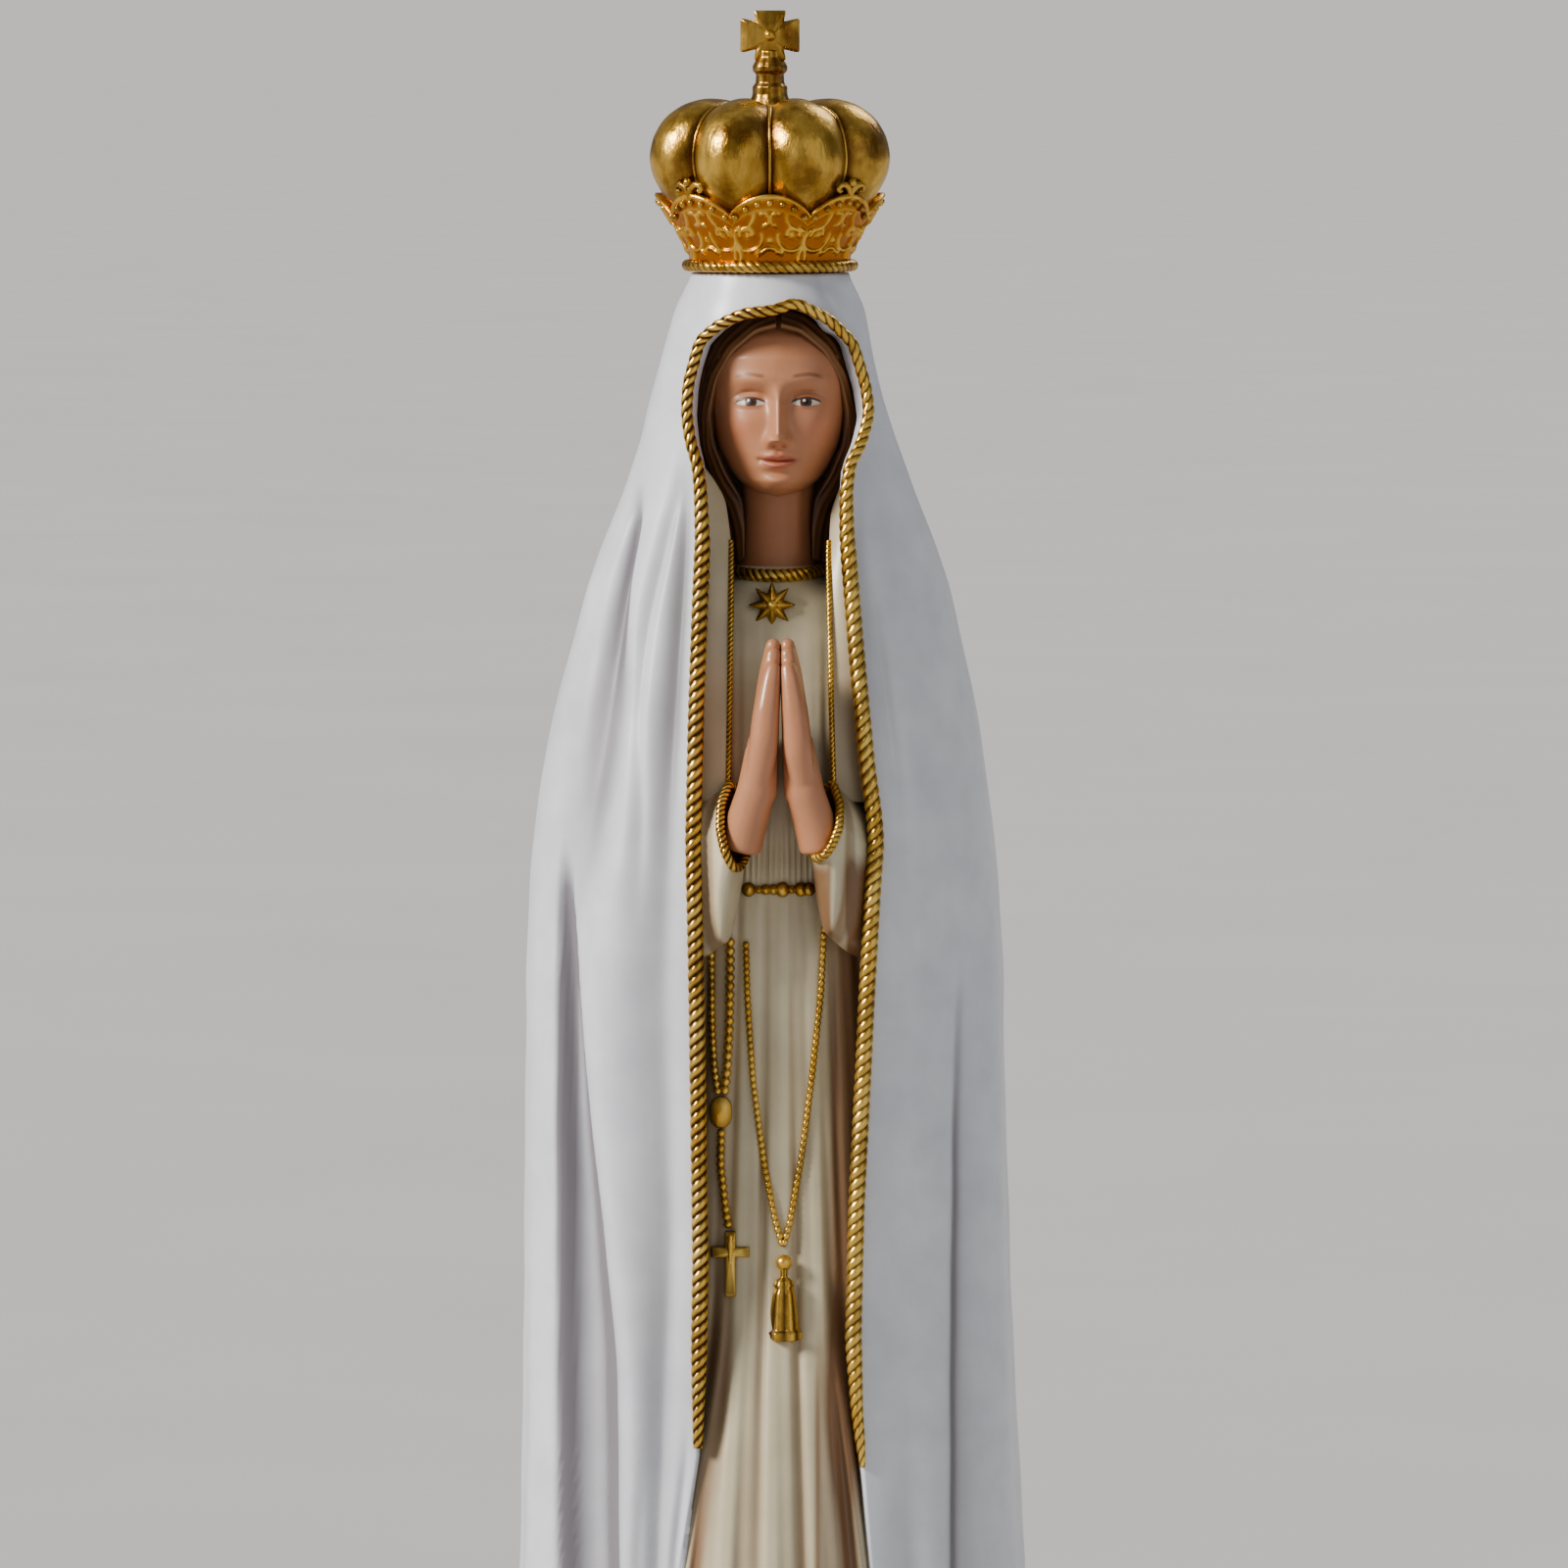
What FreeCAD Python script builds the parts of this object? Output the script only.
# Standing Madonna with a lift-off crown: a painted figure on a cloud and a turned plinth.
# Millimetres. +Z is up, the figure faces -Y, and the origin is the centre of the underside.
import FreeCAD, Part
import math
import os

import Sketcher
from FreeCAD import Placement, Rotation, Vector

doc = FreeCAD.newDocument("madonna_statue")

# ---------------------------------------------------------------- driving dimensions
# Heights on the figure are shares of figure_height, the canon of proportions that a
# modeller scales as one; every width, depth, wall and clearance is a size of its own.
DIMENSIONS = [
    ("felt_thickness", 1.2, "wool felt glued under the plinth"),
    ("felt_inset", 1.0, "felt stops this far inside the plinth's foot"),
    ("plinth_radius", 42.0, "foot of the plinth"),
    ("plinth_height", 15.0, "turned plinth"),
    ("plinth_foot_height", 4.0, "straight lower member"),
    ("plinth_neck_radius", 36.5, "waist of the plinth's cove"),
    ("plinth_top_radius", 39.5, "upper member that the cloud stands on"),
    ("plinth_top_height", 3.0, "straight upper member"),
    ("plinth_fillet", 0.8, "worn edges of the plinth"),
    ("gilt_band_width", 1.8, "gilded fillet ring in the plinth's cove"),
    ("gilt_band_height", 1.4, "gilded fillet ring in the plinth's cove"),
    ("cloud_height", 13.8, "cloud from the plinth to the hem"),
    ("cloud_radius", 31.0, "circle that the billows are centred on"),
    ("billow_radius", 7.4, "one billow"),
    ("billow_count", 14, "billows round the cloud"),
    ("screw_radius", 2.0, "fixing screw"),
    ("screw_length", 36.0, "fixing screw under its head"),
    ("screw_head_radius", 3.8, "fixing screw"),
    ("screw_head_height", 2.4, "fixing screw"),
    ("washer_radius", 5.0, "washer under the screw's head"),
    ("washer_thickness", 1.0, "washer under the screw's head"),
    ("screw_clearance", 0.2, "round the screw in the plinth and the cloud"),
    ("head_gap", 0.4, "counterbore depth left under the screw's head"),
    ("figure_height", 232.0, "hem to the crown's seat"),
    ("shin_share", 0.203, "share of the figure's height"),
    ("knee_share", 0.353, "share of the figure's height"),
    ("hip_share", 0.504, "share of the figure's height"),
    ("waist_share", 0.625, "share of the figure's height"),
    ("chest_share", 0.746, "share of the figure's height"),
    ("shoulder_share", 0.810, "share of the figure's height"),
    ("jaw_share", 0.866, "share of the figure's height"),
    ("cheek_share", 0.927, "share of the figure's height"),
    ("brow_share", 0.977, "share of the figure's height"),
    ("hem_half_width", 38.3, "mantle"),
    ("shin_half_width", 36.4, "mantle"),
    ("knee_half_width", 35.3, "mantle"),
    ("hip_half_width", 34.6, "mantle"),
    ("waist_half_width", 33.6, "mantle"),
    ("chest_half_width", 29.4, "mantle"),
    ("shoulder_half_width", 25.6, "mantle"),
    ("jaw_half_width", 20.7, "mantle"),
    ("hem_half_depth", 28.5, "mantle"),
    ("shin_half_depth", 26.5, "mantle"),
    ("knee_half_depth", 25.0, "mantle"),
    ("hip_half_depth", 24.0, "mantle"),
    ("waist_half_depth", 24.5, "mantle"),
    ("chest_half_depth", 21.0, "mantle"),
    ("shoulder_half_depth", 18.5, "mantle"),
    ("jaw_half_depth", 16.5, "mantle"),
    ("mantle_wall", 3.0, "mantle over the robe at the sides and the back"),
    ("hem_recess", 0.6, "robe's front behind the mantle's front"),
    ("shin_recess", 2.0, "robe's front behind the mantle's front"),
    ("knee_recess", 4.5, "robe's front behind the mantle's front"),
    ("hip_recess", 6.5, "robe's front behind the mantle's front"),
    ("waist_recess", 7.0, "robe's front behind the mantle's front"),
    ("chest_recess", 7.0, "robe's front behind the mantle's front"),
    ("shoulder_recess", 8.5, "robe's front behind the mantle's front"),
    ("head_share", 0.118, "height of the head as a share of the figure's height"),
    ("head_level_share", 0.922, "middle of the head, as a share"),
    ("head_offset", 1.2, "head stands this far to the viewer's right"),
    ("head_half_width", 10.0, "face from temple to temple"),
    ("head_half_depth", 11.5, "head from face to nape"),
    ("neck_radius", 5.4, "neck"),
    ("neck_socket", 6.0, "neck let into the robe"),
    ("hair_thickness", 1.6, "hair over the skull"),
    ("hair_front", 4.0, "hair starts this far in front of the ears"),
    ("hood_wall", 5.0, "hood beside the hair"),
    ("hood_back_wall", 2.6, "hood behind the hair"),
    ("window_margin", 1.5, "hood opening outside the hair"),
    ("opening_back", 4.0, "depth plane that the mantle's opening is cut back to"),
    ("throat_share", 0.853, "opening, at the throat"),
    ("hands_share", 0.655, "opening, beside the hands"),
    ("trim_end_share", 0.280, "lower end of the corded edges"),
    ("throat_left", 9.6, "edge of the opening from the middle"),
    ("throat_right", 11.0, "edge of the opening from the middle"),
    ("hands_left", 10.8, "edge of the opening from the middle"),
    ("hands_right", 14.8, "edge of the opening from the middle"),
    ("knees_left", 9.8, "edge of the opening from the middle"),
    ("knees_right", 12.8, "edge of the opening from the middle"),
    ("feet_half", 17.0, "edge of the opening from the middle, at the hem"),
    ("cord_radius", 1.3, "twisted cord along the mantle's edge"),
    ("hand_length_share", 0.118, "wrist to fingertip, as a share"),
    ("hand_breadth", 10.4, "palm from thumb side to little finger"),
    ("hand_thickness", 4.6, "palm"),
    ("hand_gap", 0.3, "between the palms"),
    ("hand_clearance", 0.8, "between the hands and the robe"),
    ("wrist_share", 0.664, "height of the wrists, as a share"),
    ("wrist_spread", 5.4, "wrist from the middle"),
    ("cuff_radius", 4.8, "mouth of the sleeve"),
    ("elbow_share", 0.610, "height of the elbows, as a share"),
    ("elbow_spread", 20.0, "elbow from the middle"),
    ("elbow_radius", 7.0, "sleeve at the elbow"),
    ("elbow_depth", 5.0, "elbow in front of the middle"),
    ("fine_cord_radius", 0.45, "narrow gilt edgings and the chain"),
    ("neckline_radius", 6.4, "gilt edging of the neckline"),
    ("neckline_cord_radius", 0.75, "gilt edging of the neckline"),
    ("brooch_drop", 3.1, "middle of the star brooch, below the shoulder's level"),
    ("brooch_span", 6.6, "star brooch, point to point"),
    ("brooch_thickness", 1.0, "star brooch in front of the robe"),
    ("belt_half_width", 4.8, "belt between the sleeves"),
    ("belt_height", 2.0, "belt"),
    ("belt_thickness", 1.0, "belt in front of the robe"),
    ("veil_spread", 7.2, "narrow veil edgings, from their middle"),
    ("veil_middle", 1.4, "middle between the narrow veil edgings"),
    ("veil_top_share", 0.794, "top of the narrow veil edgings, as a share"),
    ("veil_foot_share", 0.694, "foot of the narrow veil edgings, as a share"),
    ("chain_top_share", 0.590, "chain leaves the sleeves, height as a share"),
    ("chain_left", 3.2, "chain at its top, from the middle"),
    ("chain_right", 7.4, "chain at its top, from the middle"),
    ("chain_low_share", 0.400, "chain's lowest point, as a share"),
    ("pendant_offset", 2.0, "pendant to the viewer's right of the middle"),
    ("pendant_height", 9.6, "pendant"),
    ("pendant_half_width", 2.5, "pendant's foot"),
    ("pendant_ball_radius", 1.1, "bead above the pendant"),
    ("rosary_left", 8.0, "outer strand from the middle"),
    ("rosary_inner", 5.6, "inner strand from the middle"),
    ("rosary_bead_radius", 0.75, "rosary beads"),
    ("medal_share", 0.483, "rosary's medal, height as a share"),
    ("medal_radius", 1.7, "rosary's medal"),
    ("crucifix_share", 0.372, "middle of the crucifix, as a share"),
    ("crucifix_height", 8.4, "crucifix"),
    ("crucifix_span", 5.2, "crucifix"),
    ("crucifix_arm", 1.5, "width of the crucifix's arms"),
    ("crown_base_radius", 11.6, "underside of the crown"),
    ("crown_lip", 0.5, "crown overhangs the seat"),
    ("rim_tube_radius", 0.8, "beaded rim of the crown"),
    ("band_height", 9.5, "band of the crown"),
    ("band_top_radius", 15.8, "band of the crown, top"),
    ("crown_radius", 17.1, "crown over its lobes"),
    ("lobe_count", 8, "lobes of the crown"),
    ("lobe_half_height", 9.2, "one lobe"),
    ("lobe_half_width", 7.0, "one lobe"),
    ("cap_height", 24.6, "seat to the top of the lobes"),
    ("rib_radius", 0.5, "thin ribs between the lobes"),
    ("scallop_radius", 3.5, "raised scallops of the band"),
    ("scallop_tube_radius", 0.6, "raised scallops of the band"),
    ("pearl_radius", 0.9, "pearls between the scallops"),
    ("collar_radius", 3.0, "stem of the cross, foot"),
    ("collar_top_radius", 2.1, "stem of the cross, head"),
    ("collar_height", 5.8, "stem of the cross"),
    ("cross_height", 7.6, "cross"),
    ("cross_span", 8.4, "cross"),
    ("cross_arm", 2.6, "narrowest width of the cross's arms"),
    ("cross_flare", 4.4, "width of the arms at their ends"),
    ("cross_thickness", 2.4, "cross"),
    ("peg_side", 3.0, "square peg that holds the crown"),
    ("peg_drop", 8.0, "peg below the seat"),
    ("peg_rise", 7.0, "peg inside the crown"),
    ("peg_clearance", 0.15, "round the peg in the head"),
]

sheet = doc.addObject("Spreadsheet::Sheet", "dims")
for row, (alias, value, note) in enumerate(DIMENSIONS, start=1):
    sheet.set(f"A{row}", alias)
    sheet.set(f"B{row}", str(value))
    sheet.set(f"C{row}", note)
    sheet.setAlias(f"B{row}", alias)
doc.recompute()
ALIASES = sorted((alias for alias, _, _ in DIMENSIONS), key=len, reverse=True)


def formula(text):
    """An expression for setExpression, with every alias of the sheet written in full."""
    words = []
    word = ""
    for letter in text + " ":
        if letter.isalnum() or letter == "_":
            word += letter
            continue
        words.append("dims." + word if word in ALIASES else word)
        words.append(letter)
        word = ""
    return "".join(words).strip()


def size(text):
    """The value in millimetres of an expression over the sheet's aliases."""
    return float(sheet.evalExpression(formula(text)))


def bind(thing, **expressions):
    """Binds properties to expressions; two underscores in a name stand for a dot."""
    for name, text in expressions.items():
        thing.setExpression(name.replace("__", "."), formula(text))


def place(thing, x="0", y="0", z="0"):
    """Puts an object's origin at a point given by three expressions."""
    bind(thing, Placement__Base__x=x, Placement__Base__y=y, Placement__Base__z=z)
    return thing


def turn(thing, axis, degrees):
    """Turns an object about an axis through its own origin."""
    thing.Placement.Rotation = Rotation(axis, degrees)
    return thing


# ---------------------------------------------------------------- levels and sections
PLINTH_BASE = "felt_thickness"
PLINTH_TOP = f"({PLINTH_BASE} + plinth_height)"
HEM = f"({PLINTH_TOP} + cloud_height)"
SEAT = f"({HEM} + figure_height)"


def level(share):
    """Height of a share of the figure above the floor."""
    return f"({HEM} + {share} * figure_height)"


CHEEK_HALF_WIDTH = "(head_half_width + hair_thickness + hood_wall)"
CHEEK_HALF_DEPTH = "(head_half_depth + hair_thickness + hood_back_wall)"
SEAT_RADIUS = "(crown_base_radius - crown_lip)"
BROW_HALF_WIDTH = f"(({CHEEK_HALF_WIDTH} + {SEAT_RADIUS}) / 2)"
BROW_HALF_DEPTH = f"(({CHEEK_HALF_DEPTH} + {SEAT_RADIUS}) / 2)"

BODY_LANDMARKS = ["hem", "shin", "knee", "hip", "waist", "chest", "shoulder"]


def body_level(mark):
    return HEM if mark == "hem" else level(f"{mark}_share")


MANTLE_SECTIONS = [
    (body_level(mark), f"{mark}_half_width", f"{mark}_half_depth")
    for mark in BODY_LANDMARKS + ["jaw"]
] + [
    (level("cheek_share"), CHEEK_HALF_WIDTH, CHEEK_HALF_DEPTH),
    (level("brow_share"), BROW_HALF_WIDTH, BROW_HALF_DEPTH),
    (SEAT, SEAT_RADIUS, SEAT_RADIUS),
]
ROBE_SECTIONS = [
    (
        body_level(mark),
        f"({mark}_half_width - mantle_wall)",
        f"({mark}_half_depth - (mantle_wall + {mark}_recess) / 2)",
        f"(({mark}_recess - mantle_wall) / 2)",
    )
    for mark in BODY_LANDMARKS
]


def front_of(solid, x, z):
    """Depth of a solid's front surface at a point seen from the front."""
    far = 4 * size("hem_half_depth")
    line = Part.makeLine(Vector(x, -far, z), Vector(x, 0, z))
    inside = solid.Shape.common(line)
    if not inside.Vertexes:
        raise ValueError(f"{solid.Label} has no surface at x={x:.1f}, z={z:.1f}")
    return min(corner.Point.y for corner in inside.Vertexes)


def on_front(solid, x, share, proud="0"):
    """A point in front of a solid's surface, at a share of the figure's height."""
    x = size(x)
    z = size(level(share))
    return Vector(x, front_of(solid, x, z) - size(proud), z)


# ---------------------------------------------------------------- modelling helpers
PARTS = {}


def finish(thing, node):
    """Names a finished sub-part and puts it on the list of files."""
    thing.Label = node
    PARTS[node] = thing
    return thing


def ellipse(name, half_width, half_depth, x="0", y="0", z="0", degrees=0):
    ring = doc.addObject("Part::Ellipse", name)
    bind(ring, MajorRadius=half_width, MinorRadius=half_depth)
    place(ring, x, y, z)
    return turn(ring, Vector(0, 0, 1), degrees)


def loft(name, rings, ruled=False):
    """A solid through rings; ruled keeps it straight between them, with no overshoot."""
    solid = doc.addObject("Part::Loft", name)
    solid.Sections = rings
    solid.Solid = True
    solid.Ruled = ruled
    return solid


def primitive(kind, name, **expressions):
    solid = doc.addObject(f"Part::{kind}", name)
    bind(solid, **expressions)
    return solid


def fuse(name, shapes):
    joined = doc.addObject("Part::MultiFuse", name)
    joined.Shapes = shapes
    joined.Refine = False
    return joined


def common(name, first, second):
    shared = doc.addObject("Part::MultiCommon", name)
    shared.Shapes = [first, second]
    shared.Refine = False
    return shared


def cut(name, base, *tools):
    """Base less each tool in turn; the last cut is returned.

    Faces aren't merged afterwards, because that step fails on the lofts' long seams."""
    result = base
    for count, tool in enumerate(tools, start=1):
        step = doc.addObject("Part::Cut", f"{name}_{count}")
        step.Base = result
        step.Tool = tool
        step.Refine = False
        result = step
    return result


def new_body(name):
    return doc.addObject("PartDesign::Body", name)


def origin_plane(body, role):
    return next(part for part in body.Origin.OriginFeatures if part.Role == role)


def outline(body, name, points, offset="0", role="XZ_Plane"):
    """A closed sketch of straight lines through points given as pairs of expressions.

    On the XZ plane a positive offset moves the sketch towards the viewer, along -Y."""
    sketch = body.newObject("Sketcher::SketchObject", name)
    sketch.AttachmentSupport = [(origin_plane(body, role), "")]
    sketch.MapMode = "FlatFace"
    bind(sketch, AttachmentOffset__Base__z=offset)
    corners = [Vector(size(x), size(z), 0) for x, z in points]
    for start, end in zip(corners, corners[1:] + corners[:1]):
        sketch.addGeometry(Part.LineSegment(start, end))
    for index, (corner, texts) in enumerate(zip(corners, points)):
        after = (index + 1) % len(points)
        sketch.addConstraint(Sketcher.Constraint("Coincident", index, 2, after, 1))
        for kind, value, text, axis in (
            ("DistanceX", corner.x, texts[0], -2),
            ("DistanceY", corner.y, texts[1], -1),
        ):
            if text == "0":
                sketch.addConstraint(Sketcher.Constraint("PointOnObject", index, 1, axis))
                continue
            rule = sketch.addConstraint(Sketcher.Constraint(kind, -1, 1, index, 1, value))
            sketch.setExpression(f"Constraints[{rule}]", formula(text))
    return sketch


def pad(body, sketch, length):
    feature = body.newObject("PartDesign::Pad", sketch.Name + "_pad")
    feature.Profile = sketch
    bind(feature, Length=length)
    return feature


def revolve(body, sketch):
    """Turns a sketch on the XZ plane a full circle about the body's Z axis."""
    feature = body.newObject("PartDesign::Revolution", sketch.Name + "_turned")
    feature.Profile = sketch
    feature.ReferenceAxis = (sketch, ["V_Axis"])
    feature.Angle = 360
    return feature


def polar(body, feature, axis_role, count, turned="360"):
    """Repeats a feature about one of the body's origin axes, over a whole turn.

    Over less than a whole turn, the last copy stands at the angle itself."""
    doc.recompute()
    pattern = body.newObject("PartDesign::PolarPattern", feature.Name + "_pattern")
    pattern.Originals = [feature]
    pattern.Axis = (origin_plane(body, axis_role), [""])
    bind(pattern, Occurrences=count, Angle=turned)
    body.Tip = pattern
    return pattern


def additive(body, kind, name, base=Vector(), rotation=Rotation(), **expressions):
    """A PartDesign primitive in a body, at a point and turned, with bound sizes."""
    feature = body.newObject(f"PartDesign::Additive{kind}", name)
    feature.AttachmentSupport = [(origin_plane(body, "XY_Plane"), "")]
    feature.MapMode = "FlatFace"
    feature.AttachmentOffset = Placement(base, rotation)
    bind(feature, **expressions)
    return feature


ARC_SHARE = 0.45


def rounded_path(points):
    """Straight runs through points, joined by tangent arcs as large as they allow."""
    edges = []
    start = points[0]
    for before, corner, after in zip(points, points[1:], points[2:]):
        back = (before - corner).normalize()
        ahead = (after - corner).normalize()
        run = ARC_SHARE * min((before - corner).Length, (after - corner).Length)
        radius = run * math.tan(back.getAngle(ahead) / 2)
        first = corner + back * run
        last = corner + ahead * run
        middle = corner + (back + ahead).normalize() * (math.hypot(radius, run) - radius)
        edges.append(Part.LineSegment(start, first).toShape())
        edges.append(Part.Arc(first, middle, last).toShape())
        start = last
    edges.append(Part.LineSegment(start, points[-1]).toShape())
    return Part.Wire(edges)


def tube(name, points, radius):
    """A round cord along a path in space, which no sketch plane holds."""
    path = rounded_path(points)
    circle = Part.Circle(points[0], points[1] - points[0], radius)
    shape = path.makePipeShell([Part.Wire([circle.toShape()])], True, True)
    expected = math.pi * radius**2 * path.Length
    if abs(shape.Volume - expected) > 0.02 * expected:
        raise ValueError(f"{name}: the tube's volume is off its length times its section")
    feature = doc.addObject("Part::Feature", name)
    feature.Shape = shape
    return feature


# ---------------------------------------------------------------- plinth and felt
felt = primitive(
    "Cylinder", "felt", Radius="plinth_radius - felt_inset", Height="felt_thickness"
)
finish(felt, "felt_pad")

BORE = "(screw_radius + screw_clearance)"
COUNTERBORE = "(washer_radius + screw_clearance)"
COUNTERBORE_DEPTH = "(screw_head_height + washer_thickness + head_gap)"
COVE_LOW = "plinth_foot_height"
COVE_HIGH = "(plinth_height - plinth_top_height)"

plinth_body = new_body("plinth_body")
plinth_profile = outline(
    plinth_body,
    "plinth_profile",
    [
        (COUNTERBORE, "0"),
        ("plinth_radius", "0"),
        ("plinth_radius", COVE_LOW),
        ("plinth_neck_radius", f"({COVE_LOW} + 2)"),
        ("plinth_neck_radius", f"({COVE_HIGH} - 2)"),
        ("plinth_top_radius", COVE_HIGH),
        ("plinth_top_radius", "plinth_height"),
        (BORE, "plinth_height"),
        (BORE, COUNTERBORE_DEPTH),
        (COUNTERBORE, COUNTERBORE_DEPTH),
    ],
)
plinth_turned = revolve(plinth_body, plinth_profile)
doc.recompute()


def outer_circles(feature, radius, heights):
    """Names of the round edges of a feature with a radius, at given heights."""
    names = []
    for count, edge in enumerate(feature.Shape.Edges, start=1):
        if not isinstance(edge.Curve, Part.Circle):
            continue
        at_height = any(abs(edge.Curve.Center.z - z) < 1e-6 for z in heights)
        if at_height and abs(edge.Curve.Radius - radius) < 1e-6:
            names.append(f"Edge{count}")
    return names


worn_edges = outer_circles(plinth_turned, size("plinth_radius"), [size(COVE_LOW)])
worn_edges += outer_circles(plinth_turned, size("plinth_top_radius"), [size("plinth_height")])
plinth_worn = plinth_body.newObject("PartDesign::Fillet", "plinth_worn")
plinth_worn.Base = (plinth_turned, worn_edges)
bind(plinth_worn, Radius="plinth_fillet")
place(plinth_body, z=PLINTH_BASE)
finish(plinth_body, "plinth")

band_body = new_body("gilt_band_body")
band_profile = outline(
    band_body,
    "gilt_band_profile",
    [
        ("plinth_neck_radius", "0"),
        ("plinth_neck_radius + gilt_band_width", "0"),
        ("plinth_neck_radius + gilt_band_width", "gilt_band_height"),
        ("plinth_neck_radius", "gilt_band_height"),
    ],
)
revolve(band_body, band_profile)
place(
    band_body,
    z=f"{PLINTH_BASE} + ({COVE_LOW} + {COVE_HIGH} - gilt_band_height) / 2",
)
finish(band_body, "plinth_gilt_band")

# ---------------------------------------------------------------- fixing screw
HEAD_TOP = f"({PLINTH_BASE} + {COUNTERBORE_DEPTH} - washer_thickness)"
screw_body = new_body("screw_body")
screw_profile = outline(
    screw_body,
    "screw_profile",
    [
        ("0", "-screw_head_height"),
        ("screw_head_radius", "-screw_head_height"),
        ("screw_head_radius", "0"),
        ("screw_radius", "0"),
        ("screw_radius", "screw_length - screw_radius"),
        ("0", "screw_length"),
    ],
)
revolve(screw_body, screw_profile)
place(screw_body, z=HEAD_TOP)
finish(screw_body, "fixing_screw")

washer_body = new_body("washer_body")
washer_profile = outline(
    washer_body,
    "washer_profile",
    [
        (BORE, "0"),
        ("washer_radius", "0"),
        ("washer_radius", "washer_thickness"),
        (BORE, "washer_thickness"),
    ],
)
revolve(washer_body, washer_profile)
place(washer_body, z=HEAD_TOP)
finish(washer_body, "screw_washer")

screw_hole = primitive("Cylinder", "screw_hole", Radius=BORE, Height="cloud_height")
place(screw_hole, z=PLINTH_TOP)
pilot_hole = primitive(
    "Cylinder",
    "pilot_hole",
    Radius=BORE,
    Height=f"{HEAD_TOP} + screw_length + head_gap - {HEM}",
)
place(pilot_hole, z=HEM)

# ---------------------------------------------------------------- cloud
cloud_body = new_body("cloud_body")
cloud_core = additive(
    cloud_body, "Cylinder", "cloud_core", Radius="cloud_radius", Height="cloud_height"
)
billow = additive(
    cloud_body,
    "Sphere",
    "billow",
    base=Vector(size("cloud_radius"), 0, 0),
    Radius="billow_radius",
)
bind(billow, AttachmentOffset__Base__x="cloud_radius")
bind(billow, AttachmentOffset__Base__z="cloud_height / 2")
polar(cloud_body, billow, "Z_Axis", "billow_count")
place(cloud_body, z=PLINTH_TOP)
above_cloud = primitive(
    "Box", "above_cloud", Length="plinth_radius * 2", Width="plinth_radius * 2",
    Height="billow_radius * 2",
)
place(above_cloud, "-plinth_radius", "-plinth_radius", HEM)
below_cloud = primitive(
    "Box", "below_cloud", Length="plinth_radius * 2", Width="plinth_radius * 2",
    Height="billow_radius * 2",
)
place(below_cloud, "-plinth_radius", "-plinth_radius", f"{PLINTH_TOP} - billow_radius * 2")
finish(cut("cloud_cut", cloud_body, screw_hole, above_cloud, below_cloud), "cloud")

# ---------------------------------------------------------------- head, neck and hair
HEAD_LEVEL = level("head_level_share")
HEAD_HALF_HEIGHT = "(head_share * figure_height / 2)"
NECK_FOOT = f"({level('shoulder_share')} - neck_socket)"

skull = primitive(
    "Ellipsoid",
    "skull",
    Radius1=HEAD_HALF_HEIGHT,
    Radius2="head_half_width",
    Radius3="head_half_depth",
)
place(skull, "head_offset", "0", HEAD_LEVEL)
neck = primitive(
    "Cylinder", "neck", Radius="neck_radius", Height=f"{HEAD_LEVEL} - {NECK_FOOT}"
)
place(neck, "head_offset / 2", "1", NECK_FOOT)
head_blank = fuse("head_blank", [skull, neck])

hair_blank = primitive(
    "Ellipsoid",
    "hair_blank",
    Radius1=f"{HEAD_HALF_HEIGHT} + hair_thickness",
    Radius2="head_half_width + hair_thickness",
    Radius3="head_half_depth + hair_thickness",
)
place(hair_blank, "head_offset", "0", HEAD_LEVEL)
REACH = "(hem_half_width * 2)"
face_side = primitive("Box", "face_side", Length=REACH, Width=REACH, Height=REACH)
place(face_side, f"-{REACH} / 2", f"-{REACH} - hair_front", f"{HEAD_LEVEL} - {REACH} / 2")
hair_cap = cut("hair_cap", hair_blank, face_side)

PEG_HOLE = "(peg_side + 2 * peg_clearance)"
peg_socket = primitive(
    "Box", "peg_socket", Length=PEG_HOLE, Width=PEG_HOLE, Height="peg_drop + peg_clearance"
)
place(
    peg_socket,
    f"-{PEG_HOLE} / 2",
    f"-{PEG_HOLE} / 2",
    f"{SEAT} - peg_drop - peg_clearance",
)
finish(cut("head_cut", head_blank, peg_socket), "head")
finish(cut("hair_cut", hair_cap, head_blank, peg_socket), "hair")

# ---------------------------------------------------------------- praying hands
HAND_LENGTH = "(hand_length_share * figure_height)"
WRIST = level("wrist_share")
ROBE_FRONT_AT_HANDS = "(waist_half_depth - waist_recess)"
HAND_DEPTH = f"(-({ROBE_FRONT_AT_HANDS} + hand_clearance + hand_breadth / 2))"
# height share, distance from the middle, half breadth, half thickness, all as factors
HAND_SECTIONS = [
    ("0", "wrist_spread", "hand_breadth * 0.32", "hand_thickness * 0.46"),
    ("0.25", "hand_gap / 2 + hand_thickness * 0.56", "hand_breadth * 0.46", "hand_thickness * 0.50"),
    ("0.60", "hand_gap / 2 + hand_thickness * 0.48", "hand_breadth * 0.50", "hand_thickness * 0.44"),
    ("0.88", "hand_gap / 2 + hand_thickness * 0.26", "hand_breadth * 0.36", "hand_thickness * 0.24"),
    ("1", "hand_gap / 2 + hand_thickness * 0.13", "hand_breadth * 0.16", "hand_thickness * 0.11"),
]


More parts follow.
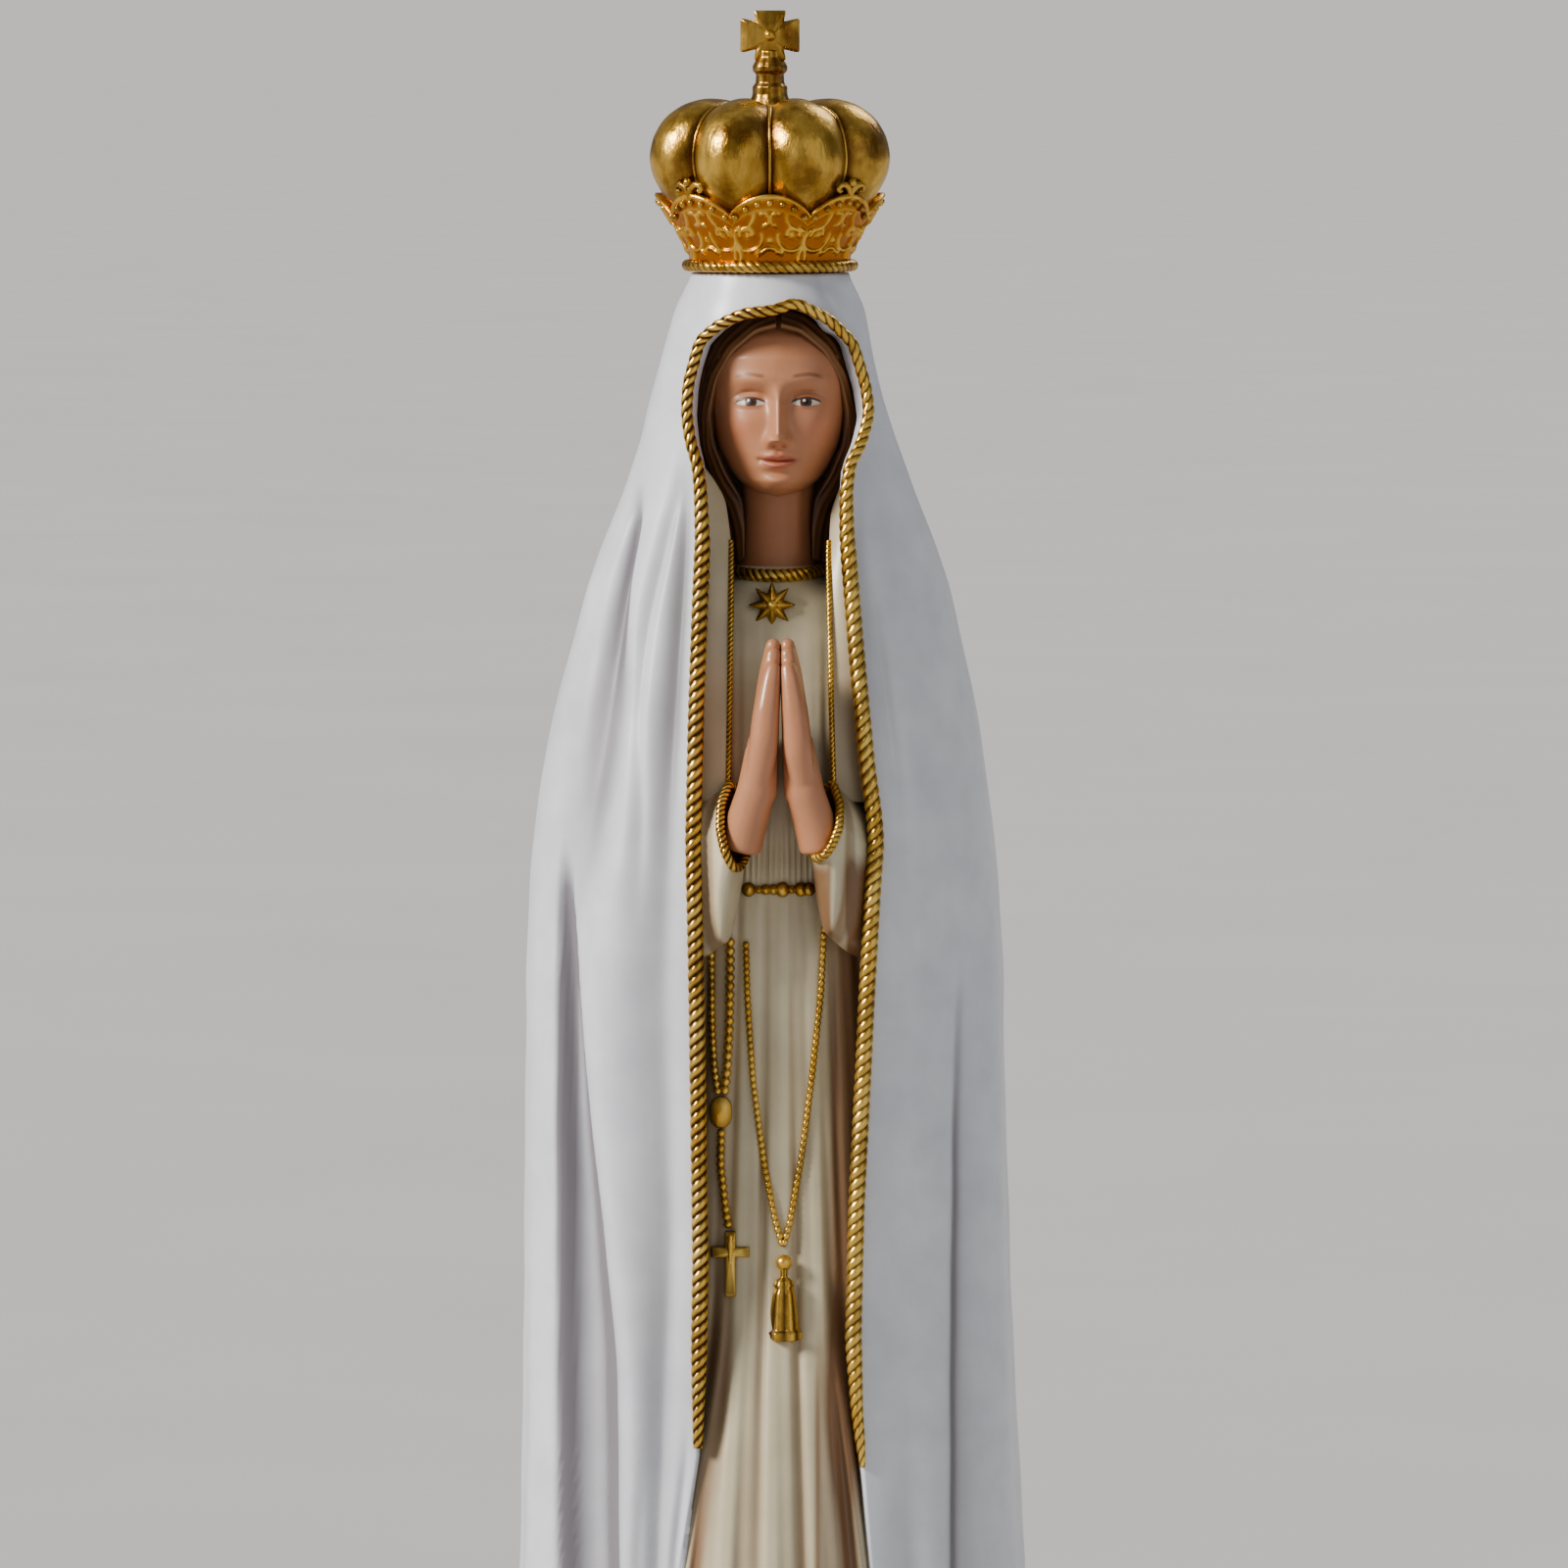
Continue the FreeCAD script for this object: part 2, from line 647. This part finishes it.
def hand(side, sign):
    """One palm and its fingers, upright, with its edge to the front."""
    rings = [
        ellipse(
            f"{side}_hand_ring_{count}",
            half_breadth,
            half_thickness,
            x=f"{sign} * ({spread}) + 1",
            y=HAND_DEPTH,
            z=f"{WRIST} + {share} * {HAND_LENGTH}",
            degrees=90,
        )
        for count, (share, spread, half_breadth, half_thickness) in enumerate(HAND_SECTIONS)
    ]
    return loft(f"{side}_hand_loft", rings)


hand_blanks = {"right": hand("right", -1), "left": hand("left", 1)}
for side, blank in hand_blanks.items():
    finish(blank, f"{side}_hand")

# ---------------------------------------------------------------- robe
robe_blank = loft(
    "robe_loft",
    [
        ellipse(f"robe_ring_{count}", half_width, half_depth, y=centre, z=height)
        for count, (height, half_width, half_depth, centre) in enumerate(ROBE_SECTIONS)
    ],
    ruled=True,
)
finish(cut("robe_cut", robe_blank, head_blank, pilot_hole), "robe")

# ---------------------------------------------------------------- sleeves
doc.recompute()
SIDES = {"right": -1, "left": 1}
wrist_points = {}
sleeve_axes = {}


def cone_between(name, start, end, start_radius, end_radius):
    """A tapered sleeve from one joint of the arm to the next."""
    solid = primitive("Cone", name, Radius1=start_radius, Radius2=end_radius)
    solid.Height = (end - start).Length
    solid.Placement = Placement(start, Rotation(Vector(0, 0, 1), end - start))
    return solid


def sleeve_blank(side, sign):
    wrist = Vector(sign * size("wrist_spread") + 1, size(HAND_DEPTH) + 1, size(WRIST))
    elbow = Vector(
        sign * size("elbow_spread"), -size("elbow_depth"), size(level("elbow_share"))
    )
    wrist_points[side] = wrist
    sleeve_axes[side] = (elbow - wrist).normalize()
    forearm = cone_between(f"{side}_forearm", wrist, elbow, "cuff_radius", "elbow_radius")
    elbow_ball = primitive("Sphere", f"{side}_elbow", Radius="elbow_radius")
    elbow_ball.Placement.Base = elbow
    return fuse(f"{side}_sleeve_blank", [forearm, elbow_ball])


sleeve_blanks = {side: sleeve_blank(side, sign) for side, sign in SIDES.items()}
for side in SIDES:
    sleeve = cut(
        f"{side}_sleeve_cut", sleeve_blanks[side], robe_blank, hand_blanks[side]
    )
    finish(sleeve, f"{side}_sleeve")

for side in SIDES:
    cuff = primitive("Torus", f"{side}_cuff_ring", Radius2="fine_cord_radius")
    bind(cuff, Radius1="cuff_radius - fine_cord_radius")
    lip = wrist_points[side] - sleeve_axes[side] * size("fine_cord_radius")
    cuff.Placement = Placement(lip, Rotation(Vector(0, 0, 1), sleeve_axes[side]))
    finish(
        cut(f"{side}_cuff_cut", cuff, robe_blank, hand_blanks[side]), f"{side}_cuff_edging"
    )

# ---------------------------------------------------------------- mantle
WINDOW_RADIUS = "(head_half_width + hair_thickness + window_margin)"
window = primitive("Cylinder", "face_window", Radius=WINDOW_RADIUS, Height=REACH)
place(window, "head_offset", "-opening_back", HEAD_LEVEL)
turn(window, Vector(1, 0, 0), 90)

opening_body = new_body("opening_body")
opening_outline = outline(
    opening_body,
    "opening_outline",
    [
        ("-feet_half", f"{HEM} - 1"),
        ("feet_half", f"{HEM} - 1"),
        ("knees_right", level("trim_end_share")),
        ("hands_right", level("hands_share")),
        ("throat_right", level("throat_share")),
        ("throat_right", HEAD_LEVEL),
        ("-throat_left", HEAD_LEVEL),
        ("-throat_left", level("throat_share")),
        ("-hands_left", level("hands_share")),
        ("-knees_left", level("trim_end_share")),
    ],
    offset="opening_back",
)
pad(opening_body, opening_outline, REACH)

mantle_blank = loft(
    "mantle_loft",
    [
        ellipse(f"mantle_ring_{count}", half_width, half_depth, z=height)
        for count, (height, half_width, half_depth) in enumerate(MANTLE_SECTIONS)
    ],
    ruled=True,
)
# The robe comes off first: nested and untouched, the two lofts cut cleanly.
mantle = cut(
    "mantle_cut",
    mantle_blank,
    robe_blank,
    window,
    opening_body,
    hair_blank,
    head_blank,
    sleeve_blanks["right"],
    sleeve_blanks["left"],
    peg_socket,
)
finish(mantle, "mantle")

# ---------------------------------------------------------------- corded edge
doc.recompute()


def window_point(degrees):
    """A point on the hood's edge round the face, by its angle from the viewer's right."""
    radius = size(WINDOW_RADIUS)
    x = size("head_offset") + radius * math.cos(math.radians(degrees))
    z = size(HEAD_LEVEL) + radius * math.sin(math.radians(degrees))
    return Vector(x, front_of(mantle_blank, x, z), z)


def edge_points(side):
    """The mantle's front edge on one side, from the throat down to the cord's end."""
    sign = "-" if side == "left" else ""
    landmarks = [
        ("throat", "throat_share"),
        ("hands", "hands_share"),
        ("knees", "trim_end_share"),
    ]
    points = []
    for (above, high), (below, low) in zip(landmarks, landmarks[1:]):
        for step in range(3):
            x = f"{sign}({above}_{side} + ({below}_{side} - {above}_{side}) * {step} / 3)"
            points.append(on_front(mantle_blank, x, f"({high} + ({low} - {high}) * {step} / 3)"))
    points.append(on_front(mantle_blank, f"{sign}knees_{side}", "trim_end_share"))
    return points


HOOD_START = 222
HOOD_END = -42
HOOD_STEPS = 11
hood_points = [
    window_point(HOOD_START + step * (HOOD_END - HOOD_START) / HOOD_STEPS)
    for step in range(HOOD_STEPS + 1)
]
cord_points = edge_points("left")[::-1] + hood_points + edge_points("right")
finish(tube("mantle_cord_tube", cord_points, size("cord_radius")), "mantle_cord")

# ---------------------------------------------------------------- ornaments on the robe
neckline = primitive(
    "Torus", "neckline_ring", Radius1="neckline_radius", Radius2="neckline_cord_radius"
)
place(neckline, "head_offset / 2", "1", f"{level('shoulder_share')} + neckline_cord_radius")
finish(
    cut("neckline_cut", common("neckline_front", neckline, opening_body), head_blank),
    "neckline_edging",
)

BROOCH_LEVEL = f"({level('shoulder_share')} - brooch_drop)"
star_body = new_body("star_body")
star_ray = outline(
    star_body,
    "star_ray",
    [
        ("brooch_span / 2", "0"),
        ("0", "brooch_span / 8"),
        ("-brooch_span / 2", "0"),
        ("0", "-brooch_span / 8"),
    ],
)
star_pad = pad(star_body, star_ray, "brooch_thickness + 6")
polar(star_body, star_pad, "Y_Axis", "4", turned="135")
brooch_front = size("brooch_thickness") - front_of(robe_blank, 0, size(BROOCH_LEVEL))
star_body.Placement.Base = Vector(
    0, size("brooch_thickness + 6") - brooch_front, size(BROOCH_LEVEL)
)
finish(cut("brooch_cut", star_body, PARTS["robe"], head_blank), "star_brooch")

belt_blank = primitive(
    "Box", "belt_box", Length="belt_half_width * 2", Height="belt_height",
    Width="belt_thickness + 6",
)
belt_blank.Placement.Base = Vector(
    1 - size("belt_half_width"),
    front_of(robe_blank, 1, size(level("waist_share"))) - size("belt_thickness"),
    size(f"{level('waist_share')} - belt_height / 2"),
)
finish(cut("belt_cut", belt_blank, PARTS["robe"]), "belt")


def on_robe(x, share, proud="0"):
    """A point in front of the robe's surface, at a share of the figure's height."""
    return on_front(robe_blank, x, share, proud)


def robe_path(x_start, share_start, x_end, share_end, steps, proud):
    """Evenly spaced points in front of the robe from one place to another."""
    return [
        on_robe(
            f"({x_start} + ({x_end} - ({x_start})) * {step} / {steps})",
            f"({share_start} + ({share_end} - {share_start}) * {step} / {steps})",
            proud,
        )
        for step in range(steps + 1)
    ]


CHAIN_PROUD = "(fine_cord_radius * 0.4)"
CHAIN_FOOT = "(chain_low_share + 0.01)"
chain_down = robe_path(
    "(-chain_left)", "chain_top_share", "(pendant_offset - 0.5)", CHAIN_FOOT, 4, CHAIN_PROUD
)
chain_up = robe_path(
    "(pendant_offset + 0.5)", CHAIN_FOOT, "chain_right", "chain_top_share", 4, CHAIN_PROUD
)
finish(tube("chain_tube", chain_down + chain_up, size("fine_cord_radius")), "neck_chain")

for side, sign in SIDES.items():
    VEIL_X = f"(veil_middle + {sign} * veil_spread)"
    veil_line = robe_path(VEIL_X, "veil_top_share", VEIL_X, "veil_foot_share", 3, CHAIN_PROUD)
    veil_tube = tube(f"{side}_veil_tube", veil_line, size("fine_cord_radius"))
    finish(veil_tube, f"{side}_veil_edging")

CHAIN_LOW = f"({level(CHAIN_FOOT)} - fine_cord_radius)"
ball_point = Vector(size("pendant_offset"), 0, size(f"{CHAIN_LOW} - pendant_ball_radius"))
ball_point.y = front_of(robe_blank, ball_point.x, ball_point.z) - 0.4
pendant_ball = primitive("Sphere", "pendant_sphere", Radius="pendant_ball_radius")
pendant_ball.Placement.Base = ball_point
finish(cut("pendant_ball_cut", pendant_ball, PARTS["robe"]), "pendant_bead")

pendant_body = new_body("pendant_body")
pendant_profile = outline(
    pendant_body,
    "pendant_profile",
    [
        ("0", "-pendant_height"),
        ("pendant_half_width", "-pendant_height"),
        ("pendant_half_width", "-pendant_height * 0.88"),
        ("pendant_half_width * 0.8", "-pendant_height * 0.8"),
        ("pendant_half_width * 0.72", "-pendant_height * 0.35"),
        ("pendant_half_width * 0.4", "-pendant_height * 0.18"),
        ("pendant_half_width * 0.25", "0"),
        ("0", "0"),
    ],
)
revolve(pendant_body, pendant_profile)
pendant_body.Placement.Base = ball_point - Vector(0, 0, size("pendant_ball_radius"))
finish(cut("pendant_cut", pendant_body, PARTS["robe"]), "pendant")

MEDAL_X = "(-(rosary_left + rosary_inner) / 2)"
BEAD_PROUD = "(rosary_bead_radius * 0.3)"
medal = primitive("Cylinder", "medal_disc", Radius="medal_radius", Height="medal_radius * 3")
turn(medal, Vector(1, 0, 0), -90)
medal.Placement.Base = on_robe(MEDAL_X, "medal_share", "rosary_bead_radius")
finish(cut("medal_cut", medal, PARTS["robe"]), "rosary_medal")

MEDAL_TOP = "(medal_share + medal_radius / figure_height)"
MEDAL_FOOT = "(medal_share - medal_radius / figure_height)"
CRUCIFIX_TOP = "(crucifix_share + crucifix_height / 2 / figure_height)"
STRANDS = {
    "rosary_outer_strand": ("(-rosary_left)", "chain_top_share",
                            f"({MEDAL_X} - rosary_bead_radius)", MEDAL_TOP),
    "rosary_inner_strand": ("(-rosary_inner)", "chain_top_share",
                            f"({MEDAL_X} + rosary_bead_radius)", MEDAL_TOP),
    "rosary_drop": (MEDAL_X, MEDAL_FOOT, "(-rosary_inner)", CRUCIFIX_TOP),
}
for node, (x_start, share_start, x_end, share_end) in STRANDS.items():
    points = robe_path(x_start, share_start, x_end, share_end, 3, BEAD_PROUD)
    finish(tube(node + "_tube", points, size("rosary_bead_radius")), node)

HALF_ARM = "crucifix_arm / 2"
ARM_LEVEL = "crucifix_height * 0.18"
crucifix_body = new_body("crucifix_body")
crucifix_outline = outline(
    crucifix_body,
    "crucifix_outline",
    [
        (f"-{HALF_ARM}", "-crucifix_height / 2"),
        (HALF_ARM, "-crucifix_height / 2"),
        (HALF_ARM, f"{ARM_LEVEL} - {HALF_ARM}"),
        ("crucifix_span / 2", f"{ARM_LEVEL} - {HALF_ARM}"),
        ("crucifix_span / 2", f"{ARM_LEVEL} + {HALF_ARM}"),
        (HALF_ARM, f"{ARM_LEVEL} + {HALF_ARM}"),
        (HALF_ARM, "crucifix_height / 2"),
        (f"-{HALF_ARM}", "crucifix_height / 2"),
        (f"-{HALF_ARM}", f"{ARM_LEVEL} + {HALF_ARM}"),
        ("-crucifix_span / 2", f"{ARM_LEVEL} + {HALF_ARM}"),
        ("-crucifix_span / 2", f"{ARM_LEVEL} - {HALF_ARM}"),
        (f"-{HALF_ARM}", f"{ARM_LEVEL} - {HALF_ARM}"),
    ],
)
pad(crucifix_body, crucifix_outline, "6")
crucifix_point = on_robe("-rosary_inner", "crucifix_share", "0.9")
crucifix_body.Placement.Base = crucifix_point + Vector(0, 6, 0)
finish(cut("crucifix_cut", crucifix_body, PARTS["robe"]), "rosary_crucifix")

# ---------------------------------------------------------------- crown
peg = primitive("Box", "peg", Length="peg_side", Width="peg_side", Height="peg_drop + peg_rise")
place(peg, "-peg_side / 2", "-peg_side / 2", f"{SEAT} - peg_drop")
finish(peg, "crown_peg")

crown_band_body = new_body("crown_band_body")
crown_band_profile = outline(
    crown_band_body,
    "crown_band_profile",
    [
        ("0", "0"),
        ("crown_base_radius", "0"),
        ("crown_base_radius", "rim_tube_radius"),
        ("band_top_radius", "band_height"),
        ("0", "band_height"),
    ],
)
revolve(crown_band_body, crown_band_profile)
place(crown_band_body, z=SEAT)
finish(cut("crown_band_cut", crown_band_body, peg), "crown_band")

rim = primitive("Torus", "rim_ring", Radius2="rim_tube_radius", Radius1="crown_base_radius")
place(rim, z=f"{SEAT} + rim_tube_radius")
finish(cut("rim_cut", rim, crown_band_body), "crown_rim")

cap_body = new_body("crown_cap_body")
additive(
    cap_body,
    "Cylinder",
    "cap_core",
    Radius="crown_radius - lobe_half_width",
    Height="cap_height - 1",
)
lobe = additive(
    cap_body,
    "Ellipsoid",
    "lobe",
    rotation=Rotation(Vector(0, 0, 1), 180 + 180 / size("lobe_count")),
    Radius1="lobe_half_height",
    Radius2="lobe_half_width",
    Radius3="lobe_half_width",
)
bind(lobe, AttachmentOffset__Base__x="(crown_radius - lobe_half_width) * cos(180 / lobe_count)")
bind(lobe, AttachmentOffset__Base__y="(crown_radius - lobe_half_width) * sin(180 / lobe_count)")
bind(lobe, AttachmentOffset__Base__z="cap_height - lobe_half_height")
polar(cap_body, lobe, "Z_Axis", "lobe_count")
place(cap_body, z=SEAT)
band_space = primitive("Cylinder", "band_space", Radius="crown_radius * 2", Height="band_height")
place(band_space, z=SEAT)
cap = cut("cap_cut", cap_body, band_space, peg)
finish(cap, "crown_cap")

rib_body = new_body("rib_body")
RIB_REACH = "(crown_radius - rib_radius)"
rib_outline = outline(
    rib_body,
    "rib_outline",
    [
        (f"-{RIB_REACH} * 0.93", "band_height"),
        (f"{RIB_REACH} * 0.93", "band_height"),
        (RIB_REACH, "band_height + (cap_height - band_height) * 0.3"),
        (f"{RIB_REACH} * 0.97", "band_height + (cap_height - band_height) * 0.6"),
        (f"{RIB_REACH} * 0.83", "band_height + (cap_height - band_height) * 0.83"),
        (f"{RIB_REACH} * 0.55", "cap_height - 0.4"),
        (f"-{RIB_REACH} * 0.55", "cap_height - 0.4"),
        (f"-{RIB_REACH} * 0.83", "band_height + (cap_height - band_height) * 0.83"),
        (f"-{RIB_REACH} * 0.97", "band_height + (cap_height - band_height) * 0.6"),
        (f"-{RIB_REACH}", "band_height + (cap_height - band_height) * 0.3"),
    ],
    offset="-rib_radius",
)
rib_pad = pad(rib_body, rib_outline, "rib_radius * 2")
polar(rib_body, rib_pad, "Z_Axis", "lobe_count / 2", turned="180 - 360 / lobe_count")
place(rib_body, z=SEAT)
BAND_SLOPE = math.degrees(
    math.atan2(
        size("band_top_radius - crown_base_radius"), size("band_height - rim_tube_radius")
    )
)
scallop_body = new_body("scallop_body")
scallop = additive(
    scallop_body,
    "Torus",
    "scallop",
    rotation=Rotation(Vector(0, 1, 0), 90 + BAND_SLOPE),
    Radius1="scallop_radius",
    Radius2="scallop_tube_radius",
)
bind(scallop, AttachmentOffset__Base__x="(crown_base_radius + band_top_radius) / 2 + 0.1")
bind(scallop, AttachmentOffset__Base__z="band_height * 0.56")
polar(scallop_body, scallop, "Z_Axis", "lobe_count")
place(scallop_body, z=SEAT)
finish(cut("scallop_cut", scallop_body, crown_band_body), "crown_scallops")

pearl_body = new_body("pearl_body")
pearl = additive(pearl_body, "Sphere", "pearl", Radius="pearl_radius")
bind(pearl, AttachmentOffset__Base__x="(band_top_radius + 0.6) * cos(180 / lobe_count)")
bind(pearl, AttachmentOffset__Base__y="(band_top_radius + 0.6) * sin(180 / lobe_count)")
bind(pearl, AttachmentOffset__Base__z="band_height")
polar(pearl_body, pearl, "Z_Axis", "lobe_count")
place(pearl_body, z=SEAT)
finish(cut("pearl_cut", pearl_body, crown_band_body, cap), "crown_pearls")

CAP_CORE_TOP = f"({SEAT} + cap_height - 1)"
collar_body = new_body("collar_body")
collar_profile = outline(
    collar_body,
    "collar_profile",
    [
        ("0", "0"),
        ("collar_radius", "0"),
        ("collar_radius", "collar_height * 0.35"),
        ("collar_top_radius", "collar_height * 0.5"),
        ("collar_top_radius", "collar_height + 1"),
        ("0", "collar_height + 1"),
    ],
)
revolve(collar_body, collar_profile)
place(collar_body, z=CAP_CORE_TOP)
finish(cut("rib_cut", rib_body, cap, collar_body), "crown_ribs")
finish(cut("collar_cut", collar_body, cap), "cross_stem")

CROSS_FOOT = f"({CAP_CORE_TOP} + collar_height + 1)"
CROSS_MIDDLE = f"({CROSS_FOOT} + cross_height / 2)"
WAIST = "cross_arm / 2"
FLARE = "cross_flare / 2"
cross_body = new_body("cross_body")
cross_outline = outline(
    cross_body,
    "cross_outline",
    [
        (f"-{FLARE}", "-cross_height / 2"),
        (FLARE, "-cross_height / 2"),
        (WAIST, f"-{WAIST}"),
        ("cross_span / 2", f"-{FLARE}"),
        ("cross_span / 2", FLARE),
        (WAIST, WAIST),
        (FLARE, "cross_height / 2"),
        (f"-{FLARE}", "cross_height / 2"),
        (f"-{WAIST}", WAIST),
        ("-cross_span / 2", FLARE),
        ("-cross_span / 2", f"-{FLARE}"),
        (f"-{WAIST}", f"-{WAIST}"),
    ],
    offset="-cross_thickness / 2",
)
pad(cross_body, cross_outline, "cross_thickness")
place(cross_body, z=CROSS_MIDDLE)
finish(cross_body, "crown_cross")

# ---------------------------------------------------------------- checks and files
doc.recompute()
for thing in doc.Objects:
    if "Invalid" in thing.State or "Error" in thing.State:
        raise RuntimeError(f"{thing.Label} failed: {thing.State}")
for node, thing in PARTS.items():
    shape = thing.Shape
    if shape.isNull() or not shape.isValid() or not shape.Solids:
        raise RuntimeError(f"{node} has no valid solid")

os.makedirs("parts", exist_ok=True)
for node, thing in PARTS.items():
    thing.Shape.exportStep(f"parts/{node}.step")
    print(f"{node}: {len(thing.Shape.Solids)} solid(s), {thing.Shape.Volume:.1f} mm3")
